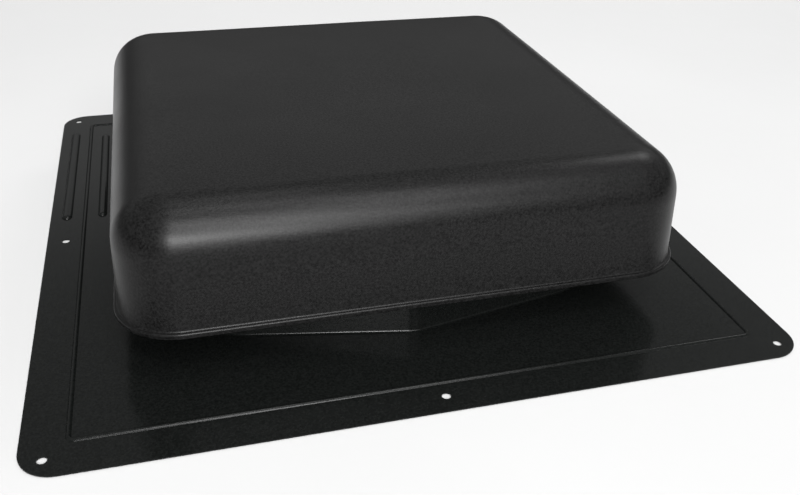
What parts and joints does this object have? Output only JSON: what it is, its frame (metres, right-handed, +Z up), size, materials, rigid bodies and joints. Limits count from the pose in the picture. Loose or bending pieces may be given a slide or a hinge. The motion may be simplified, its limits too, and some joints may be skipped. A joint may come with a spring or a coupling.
{
  "type": "roof vent",
  "caption": "Square-top static roof vent: a black flashing base with a drawn throat, and a fixed box hood that overhangs it with an open gap all round.",
  "frame": {"origin": "middle of the base's rectangle, on the underside of its flat sheet, which lies on the roof deck", "axes": "+Z up, away from the roof deck; +Y up the slope, the side with the long ribs; +X to the right seen from down the slope"},
  "size_m": [0.47, 0.495, 0.11],
  "materials": {
    "black_paint": "satin black baked paint on sheet steel, smooth",
    "hood_paint": "satin black baked paint on sheet steel, fine grain",
    "screen_wire": "woven galvanised wire, 8 mesh",
    "galvanised": "bare galvanised sheet",
    "rivet": "plain blind rivet"
  },
  "bodies": {
    "root": {"base_flashing": "black_paint", "hood_shell": "hood_paint", "insect_screen": "screen_wire", "screen_frame": "galvanised", "hood_bracket_right": "galvanised", "hood_bracket_rear": "galvanised", "hood_bracket_left": "galvanised", "hood_bracket_front": "galvanised", "bracket_rivet_right_a": "rivet", "bracket_rivet_right_b": "rivet", "bracket_rivet_rear_a": "rivet", "bracket_rivet_rear_b": "rivet", "bracket_rivet_left_a": "rivet", "bracket_rivet_left_b": "rivet", "bracket_rivet_front_a": "rivet", "bracket_rivet_front_b": "rivet", "frame_rivet_rear_right": "rivet", "frame_rivet_rear_left": "rivet", "frame_rivet_front_left": "rivet", "frame_rivet_front_right": "rivet"}
  },
  "joints": []
}
